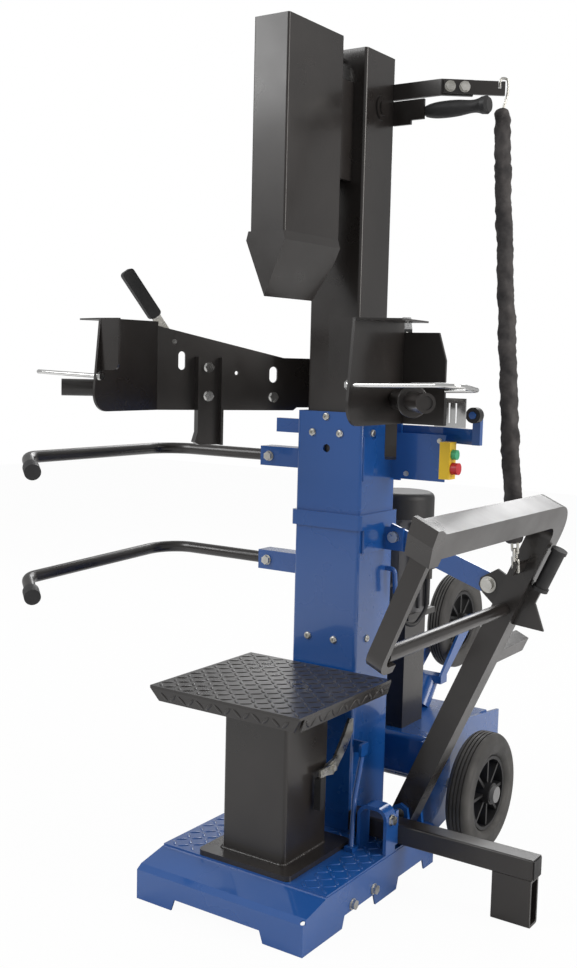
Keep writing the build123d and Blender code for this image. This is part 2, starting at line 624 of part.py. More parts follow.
slotted = block(330, 386, bend_y + arm_plate, bend_y + arm_plate + 3, 912, 960)
for x in (355, 367):
    slotted -= block(x, x + 3.2, bend_y, bend_y + arm_plate + 4, 919, 952)
loop_rear = bend_y + arm_plate / 2
loop = bent_rod([(bend_x, loop_front, loop_z), (452, loop_front + 4, loop_z + 5),
                 (408, loop_rear, loop_z - 5), (rear_plate_edge, loop_rear, loop_z - 7)], [30, 22], 4)
loop -= block(bend_x - 20, bend_x, -500, -400, 900, 1100)
loop -= block(rear_plate_edge - 20, rear_plate_edge, -300, -240, 900, 1100)
right_side = {
    "arm": arm(), "claw": claw(), "arm_bolts": solids_of(arm_bolts()), "handle": handle(),
    "hand_loop": loop, "slotted_plate": slotted,
    "lever_pin": (rod(on_arm(lever_s, lever_z, -12), on_arm(lever_s, lever_z, arm_plate), 5)
                  + rod(on_arm(lever_s, lever_z, gap - lever_stand_off), on_arm(lever_s, lever_z, 0), 9))}
for name, shape in right_side.items():
    nodes[f"right_{name}"] = shape
    nodes[f"left_{name}"] = mirrored(shape)
right_lever_angle, left_lever_angle = 165.0, 54.0
nodes["right_lever"] = lever(right_lever_angle)
nodes["right_lever_grip"] = lever_grip(right_lever_angle)
nodes["left_lever"] = mirrored(lever(left_lever_angle))
nodes["left_lever_grip"] = mirrored(lever_grip(left_lever_angle))

# --- hanger and transport handle on the mast -------------------------------
hanger_z0, hanger_z1 = 1524.0, 1554.0
turn_ux, turn_uy = math.cos(math.radians(38)), math.sin(math.radians(38))
knee = Vector(161, 41)


bar_end = knee + Vector(turn_ux, turn_uy) * 62
nodes["hanger_bar"] = Pos(0, 0, hanger_z0) * extrude(make_face(Polyline(
    (half_mast, 41), (knee.X, 41), (bar_end.X, bar_end.Y),
    (bar_end.X - turn_uy * 8, bar_end.Y + turn_ux * 8), (knee.X - 3, 49), (half_mast, 49),
    close=True)), amount=hanger_z1 - hanger_z0)
link_start = knee + Vector(turn_ux, turn_uy) * 4
link_end = knee + Vector(turn_ux, turn_uy) * 122
nodes["hanger_link"] = Pos(0, 0, hanger_z0 + 2) * extrude(make_face(Polyline(
    (link_start.X, link_start.Y), (link_end.X, link_end.Y),
    (link_end.X + turn_uy * 7, link_end.Y - turn_ux * 7),
    (link_start.X + turn_uy * 7, link_start.Y - turn_ux * 7), close=True)), amount=26)
hook_at = link_end + Vector(turn_uy, -turn_ux) * 3.5
nodes["hanger_link"] -= rod((hook_at.X - 8, hook_at.Y - 6, hanger_z0 + 15),
                            (hook_at.X - 8, hook_at.Y - 6, hanger_z0 + 40), 5)
for along in (16, 44):
    seat = knee + Vector(turn_ux, turn_uy) * along
    bolt = hex_bolt((seat.X + turn_uy * 7, seat.Y - turn_ux * 7, 1539), (turn_uy, -turn_ux, 0), 10, 15)
    nodes["hanger_bolts"] = bolt if along == 16 else solids_of([nodes["hanger_bolts"], bolt])
    for part_name in ("hanger_bar", "hanger_link"):
        nodes[part_name] -= rod((seat.X + turn_uy * 9, seat.Y - turn_ux * 9, 1539),
                                (seat.X - turn_uy * 12, seat.Y + turn_ux * 12, 1539), 5)
nodes["tow_bracket"] = (block(half_mast, 124, 44, 50, 1476, 1522)
                        - block(96, 130, 43, 51, 1475, 1484))
grip_side = Spline((124, 11), (142, 14.8), (166, 16), (200, 14.2), (228, 12.4), (240, 16))
grip_face = make_face(grip_side + Polyline((240, 16), (250, 17), (255, 13), (255, 0), (124, 0), (124, 11)))
nodes["tow_grip"] = Pos(0, 58, 1500) * revolve(grip_face, axis=Axis.X)
nodes["tow_spindle"] = rod((96, 58, 1500), (124, 58, 1500), 8) + block(96, 104, 50, 66, 1490, 1510)

# --- log lifter ----------------------------------------------------------
half_tube = lifter_tube / 2
arm_y0, arm_y1 = lifter_arm_y - half_tube, lifter_arm_y + half_tube


def lifter_frame():
    """Square tube: the arm, a rounded corner, and the bar that runs forward from it."""
    path = FilletPolyline((0, lifter_arm_y, -28), (0, lifter_arm_y, lifter_height),
                          (0, lifter_front + 10, lifter_height), radius=52)
    plane = Plane(origin=path @ 0, z_dir=path % 0)
    inside = lifter_tube - 2 * lifter_wall
    tube = sweep(plane * Rectangle(lifter_tube, lifter_tube), path=path)
    tube -= sweep(plane * Rectangle(inside, inside), path=path)
    return tube - rod((0, arm_y0 - 5, 0), (0, arm_y1 + 5, 0), lifter_pin_radius + bore_play)



def lifter_leg():
    """End block of the forward bar, the hooked flat bar below it, and the round bar that it carries."""
    under = lifter_height - half_tube
    outline = [(lifter_front - 23, lifter_height + 31), (lifter_front - 17, lifter_height + 2),
               (lifter_front + 3, under - 13), (lifter_front + 32, under - 13), (lifter_front + 32, under),
               (lifter_front + 10, under), (lifter_front + 10, lifter_height + half_tube),
               (lifter_front - 10, lifter_height + 31)]
    leg = prism(outline, Plane(origin=(-half_tube, 0, 0), x_dir=(0, 1, 0), z_dir=(1, 0, 0)), lifter_tube)
    path = FilletPolyline((0, lifter_front + 17, under - 6), (0, lifter_front + 25, lifter_bar_height - 19),
                          (0, lifter_front + 68, lifter_bar_height - 19), radius=24)
    plane = Plane(origin=path @ 0, x_dir=(1, 0, 0), z_dir=path % 0)
    leg += sweep(plane * Rectangle(30, 14), path=path)
    return leg + rod((0, lifter_front + 45, lifter_bar_height), (0, arm_y0, lifter_bar_height), 12.5)


pin_x, pin_z = -58.0, 490.5
gusset_view = Plane(origin=(0, arm_y1, 0), x_dir=(1, 0, 0), z_dir=(0, -1, 0))
gusset = prism([(-half_tube, 524), (pin_x + 3, 527), (pin_x - 20, pin_z + 4), (pin_x - 18, pin_z - 10),
                (pin_x - 4, pin_z - 20), (-half_tube, 458)], gusset_view, 6)
gusset -= rod((pin_x, arm_y1 - 8, pin_z), (pin_x, arm_y1 + 2, pin_z), 8)
lock_pin = (rod((pin_x, arm_y1 - 6, pin_z), (pin_x, arm_y1 + 16, pin_z), 8)
            + rod((pin_x, arm_y1 - 6, pin_z), (pin_x, arm_y1 - 8, pin_z), 16)
            + rod((pin_x, arm_y1 - 8, pin_z), (pin_x, arm_y1 - 16, pin_z), 11))
outer_plate = prism([(half_tube, 541), (half_tube + 21, 541), (half_tube + 21, 514),
                     (half_tube + 58, 476), (half_tube, 456)],
                    Plane(origin=(0, lifter_arm_y + 3, 0), x_dir=(1, 0, 0), z_dir=(0, -1, 0)), 6)
grip_x = half_tube + 16.5
lifter_grip = (rod((grip_x, lifter_arm_y, 541), (grip_x, lifter_arm_y, 627), 13)
               + rod((grip_x, lifter_arm_y, 541), (grip_x, lifter_arm_y, 548), 15.5)
               + rod((grip_x, lifter_arm_y, 620), (grip_x, lifter_arm_y, 627), 15))
chain_eye = (block(-3, 3, arm_y0 - 48, arm_y0, 560, 584)
             - rod((-5, arm_y0 - 38, 572), (5, arm_y0 - 38, 572), 6))
upright_lifter = {
    "lifter_frame": lifter_frame(), "lifter_leg": lifter_leg(), "lifter_gusset": gusset, "lifter_lock_pin": lock_pin,
    "lifter_side_plate": outer_plate, "lifter_grip": lifter_grip, "chain_eye": chain_eye,
    "lifter_rear_stub": block(-15, 15, arm_y1, arm_y1 + 150, 352, 382)}
for name, shape in upright_lifter.items():
    nodes[name] = in_lifter(shape)

ear = prism([(lifter_hinge_x - 30, deck_top), (lifter_hinge_x + 24, deck_top),
             (lifter_hinge_x + 16, lifter_hinge_z + 12), (lifter_hinge_x, lifter_hinge_z + 20),
             (lifter_hinge_x - 16, lifter_hinge_z + 12)],
            Plane(origin=(0, 0, 0), x_dir=(1, 0, 0), z_dir=(0, -1, 0)), 8)
ear -= rod((lifter_hinge_x, -20, lifter_hinge_z), (lifter_hinge_x, 20, lifter_hinge_z), lifter_pin_radius)
nodes["lifter_ears"] = solids_of([Pos(0, arm_y0 - gap, 0) * ear, Pos(0, arm_y1 + gap + 8, 0) * ear])
pin_head_y = arm_y1 + gap + 8
nodes["lifter_hinge_pin"] = (rod((lifter_hinge_x, arm_y0 - gap - 8, lifter_hinge_z),
                                 (lifter_hinge_x, pin_head_y, lifter_hinge_z), lifter_pin_radius)
                             + rod((lifter_hinge_x, pin_head_y, lifter_hinge_z),
                                   (lifter_hinge_x, pin_head_y + 6, lifter_hinge_z), 15))

# --- lock bar between the column and the lifter ----------------------------
lock_y = arm_y1 + 1.0
lock_pivot = Vector(102, 0, 671)
lean = math.radians(lifter_lean)
lock_far = Vector(lifter_hinge_x + pin_x * math.cos(lean) + pin_z * math.sin(lean), 0,
                  lifter_hinge_z - pin_x * math.sin(lean) + pin_z * math.cos(lean))
lock_run = (lock_far - lock_pivot).length
lock_dir = (lock_far - lock_pivot).normalized()
lock_view = Plane(origin=(lock_pivot.X, lock_y, lock_pivot.Z), x_dir=(lock_dir.X, 0, lock_dir.Z),
                  z_dir=(0, 1, 0))
lock_bar = prism([(-18, -21), (lock_run + 20, -21), (lock_run + 20, 21), (-18, 21)], lock_view, 6)
lock_slot = prism([(lock_run - 8.6, 0), (lock_run - 12, 30), (lock_run + 9, 30), (lock_run + 8.6, 0)],
                  lock_view.offset(-1), 8)
lock_bar -= rod((lock_far.X, lock_y - 1, lock_far.Z), (lock_far.X, lock_y + 8, lock_far.Z), 8.6) + lock_slot
nodes["lock_bar"] = lock_bar - rod((lock_pivot.X, lock_y - 1, lock_pivot.Z),
                                   (lock_pivot.X, lock_y + 8, lock_pivot.Z), 6 + bore_play)
tab_y = lock_y - gap - 6
nodes["lock_bracket"] = (block(side, side + 6, -58, tab_y + 6, collar_bottom - 46, collar_bottom)
                         + block(side, side + 48, tab_y, tab_y + 6, collar_bottom - 46, collar_bottom)
                         - rod((lock_pivot.X, tab_y - 1, lock_pivot.Z),
                               (lock_pivot.X, tab_y + 8, lock_pivot.Z), 6))
nodes["lock_pivot_bolt"] = (rod((lock_pivot.X, tab_y - 6, lock_pivot.Z),
                                (lock_pivot.X, lock_y + 6.5 + 6, lock_pivot.Z), 6)
                            + rod((lock_pivot.X, tab_y - 8, lock_pivot.Z),
                                  (lock_pivot.X, tab_y, lock_pivot.Z), 11)
                            + rod((lock_pivot.X, lock_y + 6.5, lock_pivot.Z),
                                  (lock_pivot.X, lock_y + 14, lock_pivot.Z), 11))

# --- chain in its sleeve -------------------------------------------------
chain_low = in_lifter(Pos(-13, arm_y0 - 38, 572 + 46) * Box(1, 1, 1)).center()
chain_top = Vector(hook_at.X + 14, hook_at.Y + 11, hanger_z0 - 24)
nodes["chain_sleeve"] = rod(chain_top, chain_low, sleeve_radius)
link_low = in_lifter(Pos(-8, arm_y0 - 38, 584.3) * Box(0.1, 0.1, 0.1)).center()
nodes["chain_end_link"] = rod(chain_low + (link_low - chain_low).normalized() * 4.5, link_low, 5)
nodes["chain_hook"] = bent_rod([(hook_at.X - 8, hook_at.Y - 6, hanger_z0 + 16),
                                (hook_at.X - 8, hook_at.Y - 6, hanger_z0 + 32.5),
                                (hook_at.X + 14, hook_at.Y + 11, hanger_z0 + 32.5),
                                (hook_at.X + 14, hook_at.Y + 11, hanger_z0 - 22.2)], [6, 6], 4.2)

# --- motor and pump behind the column ------------------------------------
motor_x, motor_y = 22.0, 194.0
motor = rod((motor_x, motor_y, 490), (motor_x, motor_y, 690), 62)
for turn in range(0, 360, 20):
    fin = block(58, 69, -2, 2, 500, 684)
    motor += Pos(motor_x, motor_y, 0) * Rot(0, 0, turn) * fin
nodes["motor_body"] = motor
fan_cover = rod((motor_x, motor_y, 690), (motor_x, motor_y, 744), 72)
nodes["fan_cover"] = fillet(fan_cover.edges().group_by(Axis.Z)[-1], 14)
nodes["pump_block"] = (block(motor_x - 45, motor_x + 45, motor_y - 45, motor_y + 45, 240, 478)
                       + block(motor_x - 60, motor_x + 60, motor_y - 60, motor_y + 60, 478, 490))
nodes["terminal_box"] = block(motor_x + 69, motor_x + 100, motor_y - 36, motor_y + 28, 590, 668)
gland_x, gland_y = motor_x + 80, motor_y - 20
nodes["cable_gland"] = rod((gland_x, gland_y, 566), (gland_x, gland_y, 590), 10)
cable_route = [(gland_x, gland_y, 566), (gland_x, gland_y, 500), (gland_x - 8, gland_y - 44, 462),
               (gland_x - 30, gland_y - 74, 500), (gland_x - 36, back + 26, 560),
               (gland_x - 36, back, 560)]
nodes["motor_cable"] = bent_rod(cable_route, [30, 26, 24, 12], 4.5)
nodes["cable_hook"] = bent_rod([(side, 44, 602), (side + 20, 44, 602), (side + 20, 50, 552)],
                               [9], 5)

# --- third wheel on its fork ---------------------------------------------
strut_low = (support_wheel_x, 322, 240)
strut_high = (support_wheel_x, support_wheel_y - 122, support_wheel_z - 118)
strut = rod(strut_low, strut_high, 20) - block(-200, 200, 200, 500, 100, 240)
fork_inner = 30.0
crown = strut + block(support_wheel_x - fork_inner - 6, support_wheel_x + fork_inner + 6,
              strut_high[1] - 16, strut_high[1] + 14, strut_high[2] - 4, strut_high[2] + 14)
nodes["support_fork_crown"] = crown
fork_leg = prism([(strut_high[1] - 16, strut_high[2] + 14), (strut_high[1] + 14, strut_high[2] + 14),
                  (support_wheel_y + 16, support_wheel_z - 10), (support_wheel_y + 14, support_wheel_z + 16),
                  (support_wheel_y - 16, support_wheel_z + 14)],
                 Plane(origin=(support_wheel_x + fork_inner, 0, 0), x_dir=(0, 1, 0), z_dir=(1, 0, 0)), 6)
fork_leg -= rod((0, support_wheel_y, support_wheel_z), (100, support_wheel_y, support_wheel_z), 8)
other_leg = Pos(-2 * fork_inner - 6, 0, 0) * fork_leg
nodes["support_fork_legs"] = solids_of([fork_leg, other_leg])
nodes["support_axle"] = rod((support_wheel_x - fork_inner - 14, support_wheel_y, support_wheel_z),
                            (support_wheel_x + fork_inner + 14, support_wheel_y, support_wheel_z), 8)


# --- wheels --------------------------------------------------------------
def tyre(radius, width, rim):
    """Solid rubber tyre about the X axis, centred on X = 0."""
    profile = Plane.XY * Pos(0, (radius + rim) / 2, 0) * RectangleRounded(width, radius - rim,
                                                                         min(width, radius - rim) * 0.3)
    ring = revolve(profile, axis=Axis.X)
    for x in (-width * 0.24, -width * 0.08, width * 0.08, width * 0.24):
        groove = (rod((x - 1.5, 0, 0), (x + 1.5, 0, 0), radius + 1)
                  - rod((x - 2, 0, 0), (x + 2, 0, 0), radius - 3))
        ring -= groove
    return ring


def hub(radius, width, rim, bore):
    """Moulded hub with spokes about the X axis."""
    body = (rod((-width * 0.36, 0, 0), (width * 0.36, 0, 0), rim)
            - rod((-width, 0, 0), (width, 0, 0), rim - 7))
    body += rod((-width / 2 - 2, 0, 0), (width / 2 + 2, 0, 0), bore * 2.2)
    for turn in range(0, 360, 45):
        spoke = block(-width * 0.3, width * 0.3, -3, 3, bore * 1.8, rim - 3)
        body += Rot(turn, 0, 0) * spoke
    return body - rod((-width, 0, 0), (width, 0, 0), bore)


main_rim = wheel_radius * 0.62
right_wheel = Pos(wheel_inner_face + wheel_width / 2, axle_y, wheel_radius)
nodes["right_tyre"] = right_wheel * tyre(wheel_radius, wheel_width, main_rim)
nodes["right_hub"] = right_wheel * hub(wheel_radius, wheel_width, main_rim, axle_radius + bore_play)
nodes["left_tyre"] = mirrored(nodes["right_tyre"])
nodes["left_hub"] = mirrored(nodes["right_hub"])
axle_end = wheel_inner_face + wheel_width + 2 + gap
nodes["axle"] = (rod((-axle_end, axle_y, wheel_radius), (axle_end, axle_y, wheel_radius), axle_radius)
                 + rod((wheel_inner_face - 10, axle_y, wheel_radius),
                       (wheel_inner_face - 2 - gap, axle_y, wheel_radius), 15)
                 + rod((-wheel_inner_face + 10, axle_y, wheel_radius),
                       (-wheel_inner_face + 2 + gap, axle_y, wheel_radius), 15))
nodes["axle_caps"] = solids_of([rod((s * axle_end, axle_y, wheel_radius),
                                    (s * (axle_end + 9), axle_y, wheel_radius), 17) for s in (-1, 1)])
support_rim = support_wheel_radius * 0.62
support_place = Pos(support_wheel_x, support_wheel_y, support_wheel_z)
nodes["support_tyre"] = support_place * tyre(support_wheel_radius, 44, support_rim)
nodes["support_hub"] = support_place * hub(support_wheel_radius, 44, support_rim, 8 + bore_play)

# --- nodes that hold several separate solids -------------------------------
groups = {
    "rear_frame": ["oil_tank", "tank_filler", "rear_side_plate_right", "rear_side_plate_left",
                   "support_fork_crown", "support_fork_legs"],
    "column_brackets": ["column_collar", "upper_guard_socket", "lower_guard_socket", "lock_bracket",
                        "column_hook", "left_tab", "cable_hook", "arm_upright"],
    "base_brackets": ["arch_bracket", "arch_tie", "lifter_ears", "latch_rod"],
    "guide_pads": ["upper_guide_pads", "lower_guide_pads"],
    "machine_bolts": ["column_bolts", "base_bolts", "guard_bolts", "panel_bolts"],
    "hinge_pins": ["arm_pins", "rocker_pin", "rocker_nut", "lifter_hinge_pin", "lock_pivot_bolt"],
    "ram_cylinder": ["ram_foot", "ram_tube", "ram_gland"],
    "ram_rod": ["ram_rod", "ram_piston"],
    "stabiliser": ["stabiliser_beam", "stabiliser_foot"],
    "guard_bars": ["upper_guard_bar", "lower_guard_bar"],
    "tube_caps": ["upper_guard_cap", "lower_guard_cap", "stabiliser_cap"],
    "pump": ["pump_block", "terminal_box", "cable_gland"],
    "axles": ["axle", "support_axle"],
    "mast": ["mast", "mast_cap", "mast_plug"],
    "wedge_box": ["wedge_box", "wedge_lid", "wedge_mount"],
    "hanger_brackets": ["hanger_bar", "hanger_link", "tow_bracket", "tow_spindle"],
    "chain_links": ["chain_hook", "chain_end_link"],
    "pedestal": ["pedestal_foot", "pedestal_tube"],
    "table": ["table", "table_ribs"],
    "latch_lever": ["latch_lever", "latch_link"],
    "rocker": ["rocker", "rocker_roller_pin"],
    "lifter_bars": ["lifter_leg", "lifter_rear_stub"],
    "lifter_plates": ["lifter_gusset", "lifter_side_plate", "chain_eye"]}
for hand in ("right", "left"):
    groups[f"{hand}_arm"] = [f"{hand}_arm", f"{hand}_claw", f"{hand}_handle"]
    groups[f"{hand}_arm_fittings"] = [f"{hand}_arm_bolts", f"{hand}_lever_pin", f"{hand}_hand_loop",
                                      f"{hand}_slotted_plate"]
for group, pieces in groups.items():
    nodes[group] = solids_of([nodes.pop(piece) for piece in pieces])

# --- origin and export ---------------------------------------------------
box = solids_of(nodes.values()).bounding_box()
shift = Vector(-(box.min.X + box.max.X) / 2, -(box.min.Y + box.max.Y) / 2, -box.min.Z)
print("shift", round(shift.X, 3), round(shift.Y, 3), round(shift.Z, 3))
print("size", box.size)
os.makedirs("parts", exist_ok=True)
for name, shape in nodes.items():
    placed = Pos(shift.X, shift.Y, shift.Z) * solids_of([shape])
    export_step(placed, f"parts/{name}.step")
print(len(nodes), "nodes")
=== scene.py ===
import bpy
import json
import math
from mathutils import Matrix, Vector, noise


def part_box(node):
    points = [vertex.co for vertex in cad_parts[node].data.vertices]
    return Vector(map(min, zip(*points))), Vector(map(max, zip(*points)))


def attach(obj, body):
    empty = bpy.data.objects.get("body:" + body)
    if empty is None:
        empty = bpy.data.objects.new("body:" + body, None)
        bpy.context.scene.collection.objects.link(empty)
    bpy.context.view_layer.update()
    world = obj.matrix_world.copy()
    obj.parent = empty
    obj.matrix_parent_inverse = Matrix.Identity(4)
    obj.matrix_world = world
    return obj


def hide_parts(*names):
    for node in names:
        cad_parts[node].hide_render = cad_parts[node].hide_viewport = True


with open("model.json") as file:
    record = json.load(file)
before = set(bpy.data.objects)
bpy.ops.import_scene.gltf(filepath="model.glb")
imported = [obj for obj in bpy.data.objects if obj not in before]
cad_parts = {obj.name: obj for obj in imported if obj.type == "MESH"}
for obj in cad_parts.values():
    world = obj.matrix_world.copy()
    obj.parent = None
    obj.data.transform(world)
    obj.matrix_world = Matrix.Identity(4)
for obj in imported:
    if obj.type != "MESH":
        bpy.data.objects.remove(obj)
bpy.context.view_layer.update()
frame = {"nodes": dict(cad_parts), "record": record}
nodes = frame["nodes"]
slot_of = {part["node"]: part["material_slot"] for part in frame["record"]["subparts"]}


# --- materials ------------------------------------------------------------
def new_material(name, colour, roughness, metallic=0.0, coat=0.0, coat_roughness=0.1):
    """Principled material; all of its even values sit on the shader's own sockets."""
    material = bpy.data.materials.new(name)
    material.use_nodes = True
    shader = material.node_tree.nodes["Principled BSDF"]
    shader.inputs["Base Color"].default_value = (*colour, 1)
    shader.inputs["Roughness"].default_value = roughness
    shader.inputs["Metallic"].default_value = metallic
    shader.inputs["Coat Weight"].default_value = coat
    shader.inputs["Coat Roughness"].default_value = coat_roughness
    return material


bump_distance = 0.001
bump_detail = 3.0
cloud_detail = 4.0
cloud_range = (0.33, 0.67)      # most of what the noise gives lies between these


def add_noise_bump(material, scale, strength, stretch=(1, 1, 1)):
    """Fine surface relief from noise in object space."""
    tree = material.node_tree
    shader = tree.nodes["Principled BSDF"]
    place = tree.nodes.new("ShaderNodeTexCoord")
    mapping = tree.nodes.new("ShaderNodeMapping")
    mapping.inputs["Scale"].default_value = stretch
    grain = tree.nodes.new("ShaderNodeTexNoise")
    grain.inputs["Scale"].default_value = scale
    grain.inputs["Detail"].default_value = bump_detail
    bump = tree.nodes.new("ShaderNodeBump")
    bump.inputs["Strength"].default_value = strength
    bump.inputs["Distance"].default_value = bump_distance
    tree.links.new(place.outputs["Object"], mapping.inputs["Vector"])
    tree.links.new(mapping.outputs["Vector"], grain.inputs["Vector"])
    tree.links.new(grain.outputs["Fac"], bump.inputs["Height"])
    tree.links.new(bump.outputs["Normal"], shader.inputs["Normal"])


def noise_ramp(material, scale):
    """Soft noise in object space, stretched to use its whole range."""
    tree = material.node_tree
    place = tree.nodes.new("ShaderNodeTexCoord")
    cloud = tree.nodes.new("ShaderNodeTexNoise")
    cloud.inputs["Scale"].default_value = scale
    cloud.inputs["Detail"].default_value = cloud_detail
    spread = tree.nodes.new("ShaderNodeMapRange")
    spread.inputs["From Min"].default_value, spread.inputs["From Max"].default_value = cloud_range
    tree.links.new(place.outputs["Object"], cloud.inputs["Vector"])
    tree.links.new(cloud.outputs["Fac"], spread.inputs["Value"])
    return spread


def vary_roughness(material, low, high, scale):
    """Cloudy change of gloss over the surface."""
    spread = noise_ramp(material, scale)
    spread.inputs["To Min"].default_value = low
    spread.inputs["To Max"].default_value = high
    tree = material.node_tree
    tree.links.new(spread.outputs["Result"], tree.nodes["Principled BSDF"].inputs["Roughness"])


def vary_colour(material, first, second, scale):
    """Cloudy change between two near colours."""
    spread = noise_ramp(material, scale)
    tree = material.node_tree
    mix = tree.nodes.new("ShaderNodeMix")
    mix.data_type = "RGBA"
    for socket in mix.inputs:
        if socket.name == "A" and socket.type == "RGBA":
            socket.default_value = (*first, 1)
        if socket.name == "B" and socket.type == "RGBA":
            socket.default_value = (*second, 1)
    tree.links.new(spread.outputs["Result"], mix.inputs[0])
    colour = next(socket for socket in mix.outputs if socket.type == "RGBA")
    tree.links.new(colour, tree.nodes["Principled BSDF"].inputs["Base Color"])


def make_materials():
    """One finish for each of the record's slots."""
    made = {
        "blue_paint": new_material("blue_paint", (0.009, 0.085, 0.330), 0.28, coat=0.9,
                                   coat_roughness=0.05),
        "black_paint": new_material("black_paint", (0.0170, 0.0142, 0.0130), 0.32, coat=0.4,
                                    coat_roughness=0.15),
        "zinc": new_material("zinc", (0.62, 0.61, 0.57), 0.32, metallic=1.0),
        "chrome": new_material("chrome", (0.80, 0.80, 0.79), 0.12, metallic=1.0),
        "black_plastic": new_material("black_plastic", (0.018, 0.018, 0.019), 0.5),
        "grey_plastic": new_material("grey_plastic", (0.22, 0.22, 0.225), 0.5),
        "grip_rubber": new_material("grip_rubber", (0.022, 0.022, 0.023), 0.55),
        "tyre_rubber": new_material("tyre_rubber", (0.055, 0.054, 0.053), 0.62),
        "yellow_plastic": new_material("yellow_plastic", (0.80, 0.52, 0.02), 0.35),
        "green_plastic": new_material("green_plastic", (0.06, 0.42, 0.20), 0.35),
        "red_plastic": new_material("red_plastic", (0.55, 0.02, 0.03), 0.35),
        "sleeve_fabric": new_material("sleeve_fabric", (0.040, 0.036, 0.036), 0.70),
        "motor_grey": new_material("motor_grey", (0.16, 0.16, 0.165), 0.45, metallic=0.6)}
    for name, scale, strength in (("blue_paint", 90, 0.05), ("black_paint", 140, 0.07),
                                  ("black_plastic", 900, 0.10), ("grip_rubber", 700, 0.16),
                                  ("tyre_rubber", 500, 0.14), ("zinc", 260, 0.08),
                                  ("motor_grey", 400, 0.12), ("grey_plastic", 800, 0.08)):
        add_noise_bump(made[name], scale, strength)
    add_noise_bump(made["sleeve_fabric"], 900, 0.5, stretch=(1, 1, 0.35))
    for name, low, high, scale in (("black_paint", 0.24, 0.44, 7), ("blue_paint", 0.20, 0.36, 6),
                                   ("zinc", 0.22, 0.46, 45), ("chrome", 0.06, 0.20, 30),
                                   ("tyre_rubber", 0.50, 0.78, 20), ("grip_rubber", 0.42, 0.66, 25),
                                   ("sleeve_fabric", 0.60, 0.85, 40)):
        vary_roughness(made[name], low, high, scale)
    vary_colour(made["black_paint"], (0.0130, 0.0108, 0.0098), (0.0230, 0.0195, 0.0178), 5)
    vary_colour(made["sleeve_fabric"], (0.022, 0.020, 0.021), (0.062, 0.056, 0.055), 38)
    vary_colour(made["tyre_rubber"], (0.040, 0.039, 0.038), (0.075, 0.072, 0.068), 16)
    vary_colour(made["zinc"], (0.52, 0.51, 0.46), (0.72, 0.71, 0.68), 60)
    return made


materials = make_materials()
softened_finishes = ("blue_paint", "black_paint", "zinc", "black_plastic", "grip_rubber")
edge_width = 0.0009
edge_angle = 40                 # degrees; flatter edges stay as they are


def finish_nodes():
    """Give every CAD node its finish, and most of them a fine softened edge."""
    for name, piece in nodes.items():
        piece.data.materials.clear()
        piece.data.materials.append(materials[slot_of[name]])
        if slot_of[name] in softened_finishes:
            bevel = piece.modifiers.new("edge", "BEVEL")
            bevel.width = edge_width
            bevel.segments = 2
            bevel.limit_method = "ANGLE"
            bevel.angle_limit = math.radians(edge_angle)
            bevel.harden_normals = False


finish_nodes()


# --- camera, light and ground ----------------------------------------------
camera_place = (1.2239, -2.0403, 1.0135)
camera_heading, camera_dip, camera_roll = 34.08, 5.99, 1.38     # degrees
camera_lens, camera_sensor = 43.45, 36.0                        # mm; the sensor's height


def add_camera():
    """Camera at the photograph's viewing angle."""
    data = bpy.data.cameras.new("camera")
    data.sensor_fit = "VERTICAL"
    data.sensor_height = camera_sensor
    data.lens = camera_lens
    camera = bpy.data.objects.new("camera", data)
    bpy.context.scene.collection.objects.link(camera)
    turn = (Matrix.Rotation(math.radians(camera_heading), 4, "Z")
            @ Matrix.Rotation(math.radians(90 - camera_dip), 4, "X")
            @ Matrix.Rotation(math.radians(camera_roll), 4, "Z"))
    camera.matrix_world = Matrix.Translation(camera_place) @ turn
    bpy.context.scene.camera = camera


def area_light(name, place, aim, size, power, colour):
    """Soft box that faces a point."""
    data = bpy.data.lights.new(name, "AREA")
    data.shape = "RECTANGLE"
    data.size, data.size_y = size
    data.energy = power
    data.color = colour
    lamp = bpy.data.objects.new(name, data)
    bpy.context.scene.collection.objects.link(lamp)
    lamp.location = place
    lamp.rotation_euler = (Vector(aim) - Vector(place)).to_track_quat("-Z", "Y").to_euler()


def camera_white(material, colour, share):
    """Show mostly a plain colour to the camera, and the lit surface to everything else."""
    tree = material.node_tree
    shader = tree.nodes["Principled BSDF"]
    output = tree.nodes["Material Output"]
    path = tree.nodes.new("ShaderNodeLightPath")
    plain = tree.nodes.new("ShaderNodeEmission")
    plain.inputs["Color"].default_value = (*colour, 1)
    portion = tree.nodes.new("ShaderNodeMath")
    portion.operation = "MULTIPLY"
    portion.inputs[1].default_value = share
    mix = tree.nodes.new("ShaderNodeMixShader")
    tree.links.new(path.outputs["Is Camera Ray"], portion.inputs[0])
    tree.links.new(portion.outputs["Value"], mix.inputs["Fac"])
    tree.links.new(shader.outputs["BSDF"], mix.inputs[1])
    tree.links.new(plain.outputs["Emission"], mix.inputs[2])
    tree.links.new(mix.outputs["Shader"], output.inputs["Surface"])


floor_size, floor_drop = 14, 0.0005
floor_white_share = 0.965       # of plain white in what the camera sees of the floor
surroundings_strength = 0.44    # of the light that falls on the machine from all round
lamps = (("key", (-2.2, -3.0, 3.2), (0, 0, 0.9), (2.2, 2.2), 85, (1, 1, 1)),
         ("side", (3.2, 0.4, 2.0), (0, 0, 0.8), (1.4, 3.0), 70, (1.0, 0.96, 0.92)),
         ("back", (-1.2, 3.2, 2.8), (0, 0, 0.9), (2.5, 2.0), 60, (1, 1, 1)))


